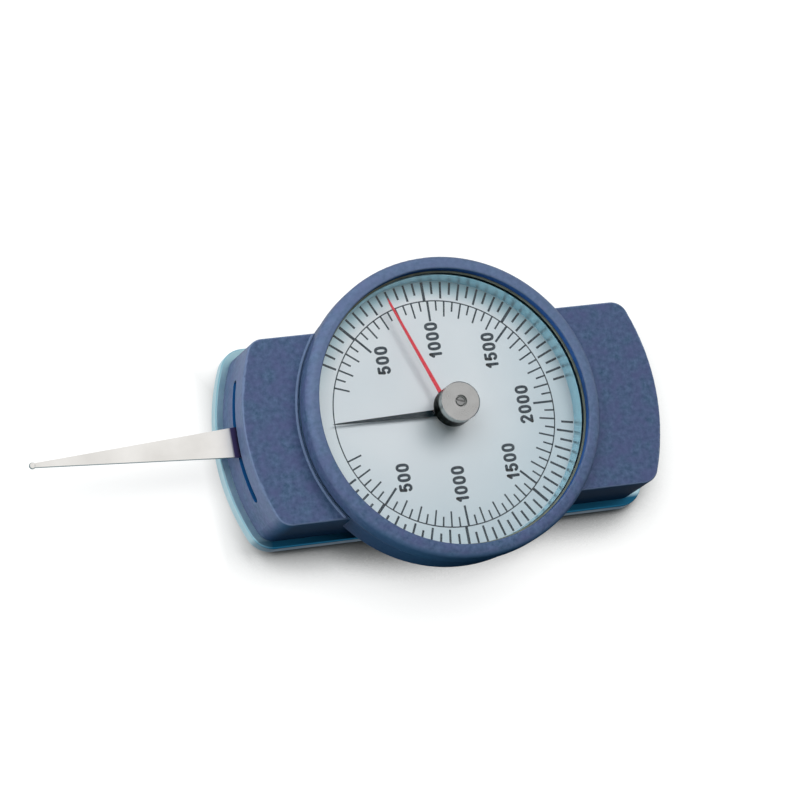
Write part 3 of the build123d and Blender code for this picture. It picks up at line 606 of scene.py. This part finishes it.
def stove_enamel():
    """Mottled blue-violet enamel, semi-gloss, with painted light and shade: painted shade on walls that
    face -Y, which get less coat too, and on the dial case's wall, painted highlights on the rim and
    along rounded edges, partly with edge wear, painted light in the channel and on the neck's end, and
    painted shade in the feeler slot and down in the mouth of the dial case. Each mask lays its tone over
    the ones before."""
    material, tree, shader = blank("stove enamel")
    mottle = use(tree, MOTTLE, {"Speckle Scale": 950.0, "Cloud Scale": 330.0})
    spot = spot_on_case(tree)
    # Painted shade on walls that face -Y, deepest low down; these walls also get less coat
    front_shade = product(tree, falling(tree, spot.facing["Y"], FRONT_SHADE_FACING), FRONT_SHADE_SHARE)
    front_shade_tone = between(tree, rising(tree, spot.height, SHADE_HEIGHTS), FRONT_SHADE_LOW_TONE, FRONT_SHADE_HIGH_TONE)
    base = between(tree, mottle["Speckle"], ENAMEL_DEEP, ENAMEL_SPECK)
    base = between(tree, product(tree, mottle["Cloud"], CLOUD_SHARE), base, ENAMEL_VIOLET)
    base = between(tree, front_shade, base, front_shade_tone)
    for mask, tone in ((case_wall_shade, WALL_SHADE_TONE), (sheen_and_wear, SHEEN_AND_WEAR_TONE), (channel_bottom_light, CHANNEL_LIGHT_TONE),
                       (slot_bottom_shade, SLOT_SHADE_TONE), (case_mouth_shade, MOUTH_SHADE_TONE)):
        base = between(tree, mask(tree, spot), base, tone)
    join(tree, base, shader.inputs["Base Color"])
    join(tree, spread(tree, mottle["Speckle"], 0, 1, 0.52, 0.68), shader.inputs["Roughness"])
    join(tree, bumped(tree, mottle["Height"], 0.35, 0.00006), shader.inputs["Normal"])
    join(tree, spread(tree, front_shade, 0, 1, 0.30, 0.05), shader.inputs["Coat Weight"])
    shader.inputs["Coat Roughness"].default_value = 0.3
    shader.inputs["Specular IOR Level"].default_value = 0.0
    return material


def tray_lip_shade(tree):
    """Painted shade on the tray's rounded lip."""
    up = facing(tree)["Z"]
    return product(tree, rising(tree, up, LIP_FACING_FROM), falling(tree, up, LIP_FACING_TO),
                   LIP_SHADE_SHARE)


def tray_ledge_shade(tree):
    """Painted shade on the tray's ledge on the -Y side."""
    place = parts_of(tree, place_in_object(tree))
    return product(tree, falling(tree, place["Y"], (LEDGE_Y - LEDGE_FADE_Y, LEDGE_Y)),
                   rising(tree, place["X"], (LEDGE_X, LEDGE_X + LEDGE_FADE_X)))


def pressed_steel():
    """Pressed steel of the tray, with painted shade: a little darker on its lip and much darker on its
    ledge.
    """
    material = metal("pressed steel", "ground", (0.34, 0.55, 0.63), (0.50, 0.69, 0.76),
                     rough=(0.34, 0.46), strength=0.03, depth=0.00001)
    overlay(material, [(tray_lip_shade, LIP_SHADE_TONE), (tray_ledge_shade, LEDGE_SHADE_TONE)])
    return material


def turned_steel():
    """Bright turned steel of arbors, pillars and plain screws."""
    return metal("turned steel", "turned", (0.50, 0.51, 0.52), (0.62, 0.63, 0.64),
                 rough=(0.2, 0.35), strength=0.1, depth=0.00002)


def satin_aluminium():
    """Satin aluminium of the spacer ring."""
    return metal("satin aluminium", "turned", (0.45, 0.77, 0.88), (0.55, 0.86, 0.95),
                 rough=(0.3, 0.45), strength=0.1, depth=0.00002)


def brass():
    """Brass of plates, bushes and gears."""
    return metal("brass", "ground", (0.68, 0.51, 0.22), (0.80, 0.64, 0.33),
                 rough=(0.2, 0.4), strength=0.1, depth=0.00002)


def blued_spring_steel():
    """Blued steel of the springs and the friction washer."""
    return metal("blued spring steel", "ground", (0.20, 0.24, 0.38), (0.32, 0.36, 0.48),
                 rough=(0.2, 0.35), strength=0.05, depth=0.00001)


def screw_steel():
    """Turned steel of the knob's screw."""
    return metal("screw steel", "turned", (0.20, 0.205, 0.205), (0.32, 0.32, 0.32),
                 rough=(0.15, 0.3), strength=0.1, depth=0.00002)


def blade_side_shade(tree):
    """Painted shade on the faces of the blade that don't face up."""
    return falling(tree, facing(tree)["Z"], BLADE_SIDE_FACING)


def blade_root_shadow(tree):
    """Painted shadow on the blade's root, where it enters the slot."""
    return rising(tree, parts_of(tree, place_in_object(tree))["X"], ROOT_SHADOW_X)


def ground_steel():
    """Ground steel of the feeler: pale on top, with painted shade at its sides, and a painted dark
    violet shadow from its root on, so that its carrier has the painted shadow too."""
    material = metal("ground steel", "ground", (0.77, 0.75, 0.72), (0.90, 0.88, 0.85),
                     rough=(0.30, 0.42), strength=0.12, depth=0.00002)
    overlay(material, [(blade_side_shade, BLADE_SIDE_SHADE_TONE), (blade_root_shadow, ROOT_SHADOW_TONE)])
    return material


def knob_side_reflection(tree):
    """Painted pale reflection on the knob's turned side."""
    return falling(tree, facing(tree)["Z"], KNOB_SIDE_FACING)


def knob_foot_reflection(tree):
    """Painted near-black reflection on the lower part of the knob."""
    return falling(tree, parts_of(tree, place_in_object(tree))["Z"], KNOB_REFLECTION_DARK_HEIGHTS)


def satin_nickel():
    """Turned satin nickel of the knob: its side has a painted reflection, a light band over a near-black
    one, and what it reflects at a slant is dulled."""
    material = metal("satin nickel", "turned", (0.38, 0.38, 0.375), (0.45, 0.45, 0.445),
                     rough=(0.24, 0.34), strength=0.15, depth=0.00002, inputs={"Rings": 9000.0})
    shader = overlay(material, [(knob_side_reflection, KNOB_REFLECTION_LIGHT_TONE), (knob_foot_reflection, KNOB_REFLECTION_DARK_TONE)])
    shader.inputs["Specular Tint"].default_value = opaque(KNOB_EDGE_TINT)
    return material


def blackened():
    """Black finish of the driven hand."""
    return painted("blackened hand", (0.004, 0.011, 0.016), (0.012, 0.024, 0.032), rough=(0.6, 0.75))


def red_enamel():
    """Red enamel of the maximum hand."""
    return painted("red enamel", (0.68, 0.022, 0.045), (0.80, 0.038, 0.062), rough=(0.4, 0.55))


def olive_gasket():
    """Olive finish of the gasket under the rim."""
    return painted("olive gasket", (0.12, 0.135, 0.11), (0.18, 0.20, 0.16), rough=(0.5, 0.65))


def dial_ink():
    """Printed ink, matt, slightly uneven."""
    return painted("dial ink", (0.020, 0.030, 0.042), (0.040, 0.055, 0.070), rough=(0.6, 0.75))


def dial_silver():
    """Silver-white dial, satin, with the faintest grain: painted shade deepening away from a painted
    pale spot, and a painted rim shadow at its edge on the +Y side."""
    material, tree, shader = blank("dial silver")
    grain = use(tree, MOTTLE, {"Speckle Scale": 5000.0, "Cloud Scale": 60.0})
    base = between(tree, grain["Cloud"], SILVER_TONE, SILVER_CLOUD)
    base = between(tree, product(tree, grain["Speckle"], SILVER_SPECK_SHARE), base, SILVER_SPECK)
    # Painted shade, deepening away from the painted pale spot
    away = add(tree, "ShaderNodeVectorMath", operation="DISTANCE")
    away.inputs[1].default_value = SILVER_LIGHT_AT
    join(tree, place_in_object(tree), away.inputs[0])
    deeper = product(tree, rising(tree, away.outputs["Value"], SILVER_SHADE_FADE), SILVER_SHADE_SHARE)
    base = between(tree, deeper, base, SILVER_SHADE)
    # Painted rim shadow at the dial's edge on the +Y side
    edge = rising(tree, radius_in_object(tree), RIM_SHADOW_R)
    side = rising(tree, parts_of(tree, place_in_object(tree))["Y"], RIM_SHADOW_Y)
    base = between(tree, product(tree, edge, side, RIM_SHADOW_SHARE), base, RIM_SHADOW_TONE)
    join(tree, base, shader.inputs["Base Color"])
    join(tree, spread(tree, grain["Speckle"], 0, 1, 0.5, 0.62), shader.inputs["Roughness"])
    join(tree, bumped(tree, grain["Height"], 0.08, 0.00001), shader.inputs["Normal"])
    return material


def clear_crystal():
    """Clear crystal with faint wiping marks; lamps shine through it onto the dial."""
    material, tree, shader = blank("clear crystal")
    mottle = use(tree, MOTTLE, {"Speckle Scale": 300.0, "Cloud Scale": 60.0})
    base = between(tree, mottle["Cloud"], CRYSTAL_TONE, CRYSTAL_CLEAR)
    join(tree, base, shader.inputs["Base Color"])
    join(tree, spread(tree, mottle["Cloud"], 0, 1, 0.0, 0.03), shader.inputs["Roughness"])
    shader.inputs["Transmission Weight"].default_value = 1.0
    shader.inputs["IOR"].default_value = CRYSTAL_IOR
    path = add(tree, "ShaderNodeLightPath")
    clear = add(tree, "ShaderNodeBsdfTransparent", {"Color": opaque(CRYSTAL_SHADOW)})
    either = add(tree, "ShaderNodeMixShader")
    join(tree, path.outputs["Is Shadow Ray"], either.inputs["Fac"])
    join(tree, shader.outputs["BSDF"], either.inputs[1])
    join(tree, clear.outputs["BSDF"], either.inputs[2])
    output = next(one for one in tree.nodes if one.type == "OUTPUT_MATERIAL")
    join(tree, either.outputs["Shader"], output.inputs["Surface"])
    return material


# Every material slot of the record, with the finish that it gets
FINISHES = {
    "blue_paint": stove_enamel,
    "polished_steel": pressed_steel,
    "plain_steel": turned_steel,
    "dial_white": dial_silver,
    "ring_silver": satin_aluminium,
    "clear_glass": clear_crystal,
    "ring_cream": olive_gasket,
    "brass": brass,
    "spring_steel": blued_spring_steel,
    "ground_steel": ground_steel,
    "dark_hand": blackened,
    "red_hand": red_enamel,
    "satin_nickel": satin_nickel,
    "screw_steel": screw_steel,
}


# Meshes of the dial print

def piece(name, vertices, faces, material):
    """A mesh object from an array of corners in millimetres and an array of four-sided faces."""
    mesh = bpy.data.meshes.new(name)
    mesh.from_pydata((vertices * MM).tolist(), [], faces.tolist())
    mesh.update()
    mesh.materials.append(material)
    made = bpy.data.objects.new(name, mesh)
    bpy.context.scene.collection.objects.link(made)
    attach(made, "case")


def raised(left, right, low, high):
    """Corners of a strip as a solid: each station has left and right at the top and then right
    and left at the bottom, so four corners to a station."""
    count = len(left)
    corners = np.empty((count, 4, 3))
    corners[:, 0, :2] = left
    corners[:, 1, :2] = right
    corners[:, 2, :2] = right
    corners[:, 3, :2] = left
    corners[:, :2, 2] = high
    corners[:, 2:, 2] = low
    return corners.reshape(-1, 3)


def strip_faces(count, closed):
    """Faces of a strip of four-cornered stations: each side of one station is joined to the same
    side of the next; an open strip gets a cap at each end."""
    stations = np.arange(count if closed else count - 1)
    following = (stations + 1) % count
    sides = np.arange(4)
    beside = (sides + 1) % 4
    near = stations[:, None] * 4
    far = following[:, None] * 4
    walls = np.stack([near + sides, near + beside, far + beside, far + sides], axis=-1).reshape(-1, 4)
    if closed:
        return walls
    caps = np.array([[3, 2, 1, 0], [0, 1, 2, 3]])
    caps[1] += 4 * (count - 1)
    return np.vstack([walls, caps])


def gathered(strips):
    """Joins strips, each an array of corners and one of faces, into one mesh's arrays."""
    corners = []
    faces = []
    start = 0
    for strip_corners, strip in strips:
        corners.append(strip_corners)
        faces.append(strip + start)
        start += len(strip_corners)
    return np.vstack(corners), np.vstack(faces)


def stroke(path, width, low, high, closed):
    """A pen stroke along a path: each point's sides lie half a width along the path's normal. At
    an open end the stroke runs on by the cosine of an angle while its half width is the sine,
    which makes a half circle."""
    half = width / 2
    if closed:
        along = np.roll(path, -1, axis=0) - np.roll(path, 1, axis=0)
    else:
        along = np.gradient(path, axis=0)
    along = along / np.linalg.norm(along, axis=1, keepdims=True)
    reach = np.full(len(path), half)
    middle = path
    if not closed:
        angles = np.radians(ROUND_END_DEGREES)
        run_on = half * np.cos(angles)
        narrow = half * np.sin(angles)
        head = path[0] - along[0] * run_on[:, None]
        tail = path[-1] + along[-1] * run_on[::-1, None]
        middle = np.vstack([head, path, tail])
        added = len(angles)
        along = np.vstack([np.repeat(along[:1], added, axis=0), along,
                           np.repeat(along[-1:], added, axis=0)])
        reach = np.concatenate([narrow, reach, narrow[::-1]])
    normal = np.stack([-along[:, 1], along[:, 0]], axis=1)
    left = middle + normal * reach[:, None]
    right = middle - normal * reach[:, None]
    return raised(left, right, low, high), strip_faces(len(middle), closed)


def arc(centre, radii, start, end, steps=14):
    """Points on an ellipse between two angles in degrees."""
    angles = np.radians(np.linspace(start, end, steps))
    return np.stack([centre[0] + radii[0] * np.cos(angles), centre[1] + radii[1] * np.sin(angles)], 1)


def straight(first, last, steps=3):
    """Points on a straight run."""
    share = np.linspace(0, 1, steps)[:, None]
    return np.array(first) * (1 - share) + np.array(last) * share


def nought_path(half_w, half_h):
    """Centre line of a nought: an ellipse with its cosine and sine raised to a power below 1,
    which flattens its sides."""
    angles = np.linspace(0, 2 * math.pi, NOUGHT_POINTS, endpoint=False)
    x = half_w * np.sign(np.cos(angles)) * np.abs(np.cos(angles)) ** NOUGHT_POWER
    y = half_h * np.sign(np.sin(angles)) * np.abs(np.sin(angles)) ** NOUGHT_POWER
    return np.stack([x, y], 1)


def digit_paths(digit):
    """Centre lines of one rounded digit about its own middle, each with whether it is closed."""
    half_w = (DIGIT_WIDTH - DIGIT_STROKE) / 2
    half_h = (DIGIT_HEIGHT - DIGIT_STROKE) / 2
    if digit == "0":
        return [(nought_path(half_w, half_h), True)]
    if digit == "1":
        foot = (0.2 * half_w, -half_h)
        head = (0.2 * half_w, half_h)
        flag = (-0.6 * half_w, 0.45 * half_h)
        return [(straight(foot, head), False), (straight(flag, head), False)]
    if digit == "2":
        bowl = arc((0, half_h - half_w), (half_w, half_w), 165, -30)
        foot = (-half_w, -half_h)
        neck = straight(bowl[-1], foot, 5)[1:]
        return [(np.vstack([bowl, neck]), False), (straight(foot, (half_w, -half_h)), False)]
    bar_left = (-0.75 * half_w, half_h)
    shoulder = (-0.95 * half_w, 0.05 * half_h)
    bowl_r = 0.62 * half_h
    bowl = arc((0, -half_h + bowl_r), (half_w, bowl_r), 135, -150)
    return [(straight((0.8 * half_w, half_h), bar_left), False),
            (straight(bar_left, shoulder), False),
            (np.vstack([[shoulder], bowl]), False)]


def reading_angle(reading, spacing):
    """Dial angle of a reading, in radians: nearly even, plus a half wave and a whole wave over
    the scale."""
    even, half_wave, whole_wave = spacing
    turn = reading / 1000 * math.pi / 2
    return math.radians(even * reading / 1000 + half_wave * math.sin(turn)
                        + whole_wave * math.sin(2 * turn))


def line_kind(reading):
    """How long the line at a reading is."""
    if reading % LONG_EVERY == 0:
        return "long"
    return "medium" if reading % MEDIUM_EVERY == 0 else "short"


def scale_lines(low, high, first, last, spacing, start_r, reach, width_growth):
    """Both halves of a graduation: each line is a strip along a radius, mirrored about the zero
    mark. The line at half a turn is its own mirror image, so it is made once."""
    strips = []
    for reading in range(first, last + 1, SCALE_STEP):
        kind = line_kind(reading)
        angle = reading_angle(reading, spacing)
        half = LINE_WIDTH[kind] * width_growth / 2
        for side in (1, -1):
            if side < 0 and reading == HALF_TURN_READING:
                continue
            out = np.array([-math.cos(angle), side * math.sin(angle)])
            across = np.array([-out[1], out[0]]) * half
            ends = np.stack([out * reach[kind], out * start_r])
            strips.append((raised(ends + across, ends - across, low, high), strip_faces(2, False)))
    return gathered(strips)


def number_strips(low, high):
    """Every number: its digits side by side along +Y with their tops towards -X. A leading one is
    narrower, so it stands closer to the next digit."""
    strips = []
    for text, places in NUMBER_PLACES.items():
        for centre in places:
            for number, digit in enumerate(text):
                offset = (number - (len(text) - 1) / 2) * DIGIT_PITCH
                if number == 0 and digit == "1":
                    offset += ONE_NARROWER
                for path, closed in digit_paths(digit):
                    across = centre[0] - path[:, 1]
                    along = centre[1] + offset + path[:, 0]
                    placed = np.stack([across, along], axis=1)
                    strips.append(stroke(placed, DIGIT_STROKE, low, high, closed))
    return strips


def print_dial():
    """Graduations, circle and numbers, a hair above the dial."""
    ink = dial_ink()
    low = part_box("dial_plate")[1].z / MM - PRINT_SUNK
    high = low + PRINT_SUNK + PRINT_THICK
    piece("inner_scale", *scale_lines(low, high, **INNER_SCALE), ink)
    piece("outer_scale", *scale_lines(low, high, **OUTER_SCALE), ink)
    circle = arc((0, 0), (CIRCLE_R, CIRCLE_R), 0, 360, CIRCLE_POINTS + 1)[:-1]
    piece("scale_circle", *stroke(circle, CIRCLE_WIDTH, low, high, True), ink)
    piece("scale_numbers", *gathered(number_strips(low, high)), ink)


# Studio pieces

def seen_directly(tree):
    """1 for what the camera sees, straight, in a reflection or through glass; 0 for light that a
    matt surface gathers, also where it comes through the crystal."""
    path = add(tree, "ShaderNodeLightPath")
    straight_on = arithmetic(tree, "ADD", path.outputs["Is Camera Ray"], path.outputs["Is Glossy Ray"])
    seen = arithmetic(tree, "ADD", straight_on, path.outputs["Is Transmission Ray"], clamp=True)
    gathered_light = arithmetic(tree, "MINIMUM", path.outputs["Diffuse Depth"], 1.0)
    return arithmetic(tree, "SUBTRACT", seen, gathered_light, clamp=True)


def floor_shade_sheet(tree, place):
    """A painted dark sheet: the floor on the -Y side of the gauge, dark for every ray but the camera's
    own.
    """
    region = product(tree, falling(tree, place["Y"], SHADE_SHEET_Y), rising(tree, place["X"], SHADE_SHEET_X))
    camera = add(tree, "ShaderNodeLightPath").outputs["Is Camera Ray"]
    return arithmetic(tree, "SUBTRACT", region, camera, clamp=True)


def floor_open(tree, place):
    """How far the floor is open to the sky: it closes under the gauge's -Y side alone, and less
    where the gauge mirrors it."""
    # Painted contact shadow: occlusion dims the floor's own glow, and places keep it to the gauge's -Y
    # side
    sky = add(tree, "ShaderNodeAmbientOcclusion", {"Distance": CONTACT_REACH}, samples=8)
    mirrored = add(tree, "ShaderNodeLightPath").outputs["Is Glossy Ray"]
    return greatest(tree, rising(tree, sky.outputs["AO"], CONTACT_OPEN),
                    rising(tree, place["Y"], CONTACT_NONE_Y), falling(tree, place["X"], CONTACT_NONE_X),
                    product(tree, mirrored, CONTACT_MIRRORED))


def floor_paint():
    """Pale matt paint that adds a little of its own white, less where the gauge covers it, as a painted
    contact shadow.
    On the side away from the lamps only the camera sees it pale: there it is a painted dark sheet that
    throws little light back, which paints shade on the gauge."""
    material = bpy.data.materials.new("pale floor")
    material.use_nodes = True
    tree = material.node_tree
    tree.nodes.clear()
    output = add(tree, "ShaderNodeOutputMaterial")
    paint = add(tree, "ShaderNodeBsdfDiffuse")
    glow = add(tree, "ShaderNodeEmission", {"Color": opaque(WHITE)})
    both = add(tree, "ShaderNodeAddShader")
    place = parts_of(tree, place_in_object(tree))
    seen = seen_directly(tree)
    # Painted dark sheet on the -Y side, for rays other than the camera's
    dark = floor_shade_sheet(tree, place)
    pale = between(tree, seen, FLOOR_BOUNCE, FLOOR_TONE)
    join(tree, between(tree, dark, pale, SHADE_SHEET_BOUNCE), paint.inputs["Color"])
    uncovered = arithmetic(tree, "SUBTRACT", floor_open(tree, place), dark, clamp=True)
    join(tree, product(tree, seen, uncovered, FLOOR_GLOW), glow.inputs["Strength"])
    join(tree, paint.outputs[0], both.inputs[0])
    join(tree, glow.outputs[0], both.inputs[1])
    join(tree, both.outputs[0], output.inputs["Surface"])
    return material


def make_floor():
    """A wide floor just under the gauge."""
    half = FLOOR_SIZE / 2
    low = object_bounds()[0][2] - FLOOR_GAP
    corners = [(-half, -half, low), (half, -half, low), (half, half, low), (-half, half, low)]
    mesh = bpy.data.meshes.new("floor")
    mesh.from_pydata(corners, [], [(0, 1, 2, 3)])
    mesh.materials.append(floor_paint())
    floor = bpy.data.objects.new("floor", mesh)
    bpy.context.scene.collection.objects.link(floor)


def make_world():
    """White surroundings to look at, and a weaker, slightly cool light from all round that falls
    off towards -Y."""
    world = bpy.data.worlds.new("studio")
    bpy.context.scene.world = world
    world.use_nodes = True
    tree = world.node_tree
    tree.nodes.clear()
    output = add(tree, "ShaderNodeOutputWorld")
    ambient = add(tree, "ShaderNodeBackground", {"Color": opaque(AMBIENT_TINT)})
    direction = parts_of(tree, add(tree, "ShaderNodeTexCoord").outputs["Generated"])
    join(tree, spread(tree, direction["Y"], *AMBIENT_Y, AMBIENT * AMBIENT_FRONT_SHARE, AMBIENT),
         ambient.inputs["Strength"])
    white = add(tree, "ShaderNodeBackground", {"Color": opaque(WHITE), "Strength": 1.0})
    either = add(tree, "ShaderNodeMixShader")
    join(tree, seen_directly(tree), either.inputs["Fac"])
    join(tree, ambient.outputs[0], either.inputs[1])
    join(tree, white.outputs[0], either.inputs[2])
    join(tree, either.outputs[0], output.inputs["Surface"])


def make_lamp(name, place, size, power, tint):
    """A round soft lamp that faces the gauge. Its light reaches the dial through the crystal's
    clear shadow alone, so it counts once; metal and crystal mirror only the white surroundings."""
    data = bpy.data.lights.new(name, "AREA")
    data.shape = "DISK"
    data.size = size
    data.energy = power
    data.color = tint
    lamp = bpy.data.objects.new(name, data)
    lamp.location = place
    lamp.rotation_euler = (-Vector(place)).to_track_quat("-Z", "Y").to_euler()
    lamp.visible_transmission = False
    lamp.visible_glossy = False
    bpy.context.scene.collection.objects.link(lamp)


def make_camera():
    """The photograph's view, its roll given by the direction that is up in the picture."""
    data = bpy.data.cameras.new("camera")
    data.lens = CAMERA_LENS
    data.sensor_width = CAMERA_SENSOR
    camera = bpy.data.objects.new("camera", data)
    back = (Vector(CAMERA_PLACE) - Vector(CAMERA_TARGET)).normalized()
    right = Vector(CAMERA_UP).cross(back).normalized()
    up = back.cross(right)
    turned = Matrix((right, up, back)).transposed().to_4x4()
    camera.matrix_world = Matrix.Translation(CAMERA_PLACE) @ turned
    bpy.context.scene.collection.objects.link(camera)
    bpy.context.scene.camera = camera


def dress_nodes():
    """Gives every CAD node the finish that its slot in the record names."""
    materials = {slot: finish() for slot, finish in FINISHES.items()}
    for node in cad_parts.values():
        for slot in node.material_slots:
            slot.material = materials[slot.material.name]


dress_nodes()
print_dial()
make_floor()
make_world()
for lamp_name, lamp_values in LAMPS.items():
    make_lamp(lamp_name, **lamp_values)
make_camera()
bpy.context.scene.view_settings.view_transform = "Standard"
